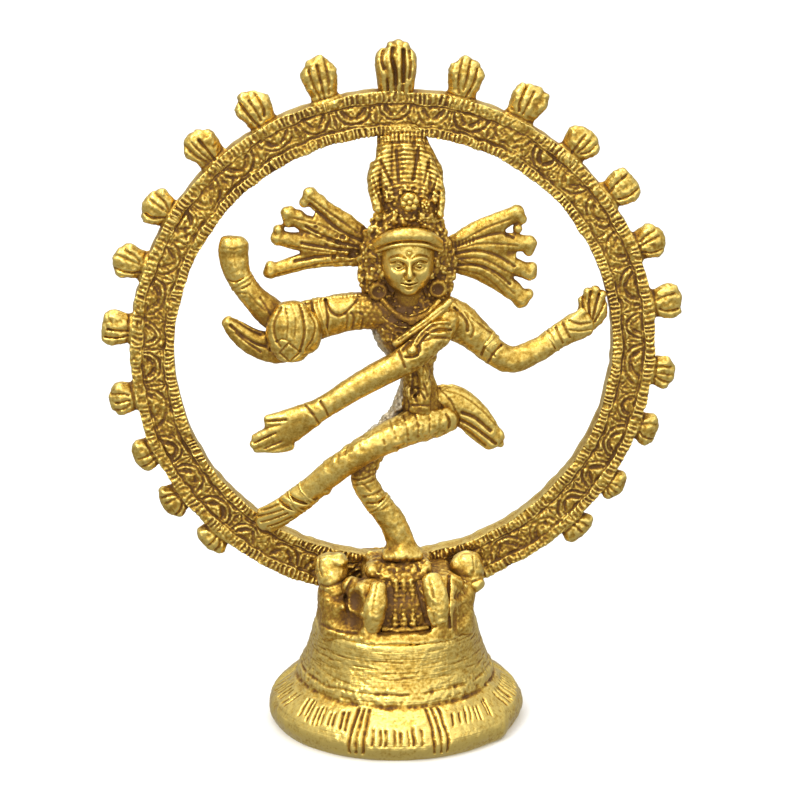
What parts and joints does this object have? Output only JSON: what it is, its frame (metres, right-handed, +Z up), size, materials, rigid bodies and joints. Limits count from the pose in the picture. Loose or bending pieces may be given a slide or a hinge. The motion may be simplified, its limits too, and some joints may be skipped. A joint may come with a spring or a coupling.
{
  "type": "nataraja statuette",
  "caption": "Small cast brass dancing figure with four arms inside a round ring of flames, standing on a plinth and a bell-shaped pedestal.",
  "frame": {"origin": "middle of the pedestal's flat bottom rim, on the surface that the statue stands on", "axes": "+Z up, -Y is the front that the figure faces, +X is the viewer's right when looking at the front"},
  "size_m": [0.0827, 0.037, 0.0997],
  "materials": {
    "brass_body": "cast and filed, satin with brown patina in the recesses",
    "brass_pale": "rubbed bright on the high places",
    "brass_dark": "rough cast skin with dark patina"
  },
  "bodies": {
    "root": {"base_bell": "brass_body", "plinth_neck": "brass_body", "plinth_core": "brass_dark", "plinth_lobes": "brass_pale", "plinth_beads": "brass_pale", "plinth_slab": "brass_body", "plinth_knobs": "brass_body", "ring": "brass_body", "ring_flames": "brass_body", "top_flame": "brass_pale", "torso": "brass_dark", "hip_sash": "brass_body", "flash_webs": "brass_dark", "chest_scarf": "brass_pale", "necklaces": "brass_pale", "head": "brass_pale", "hair_cap": "brass_dark", "diadem": "brass_pale", "crown": "brass_body", "crown_ribs": "brass_body", "crown_medals": "brass_pale", "ear_discs": "brass_body", "hair_fan_left": "brass_body", "hair_fan_right": "brass_body", "right_upper_arm": "brass_body", "hand_drum": "brass_pale", "raised_forearm": "brass_body", "raised_hand": "brass_body", "lowered_hand": "brass_body", "left_upper_arm": "brass_body", "left_forearm": "brass_body", "left_rear_hand": "brass_body", "hand_flame": "brass_pale", "crossing_arm": "brass_pale", "crossing_hand": "brass_pale", "raised_thigh": "brass_body", "raised_shin": "brass_body", "raised_foot": "brass_body", "standing_leg": "brass_body", "standing_foot": "brass_body", "armlets": "brass_pale", "bracelets": "brass_pale", "leg_bands": "brass_pale"}
  },
  "joints": []
}
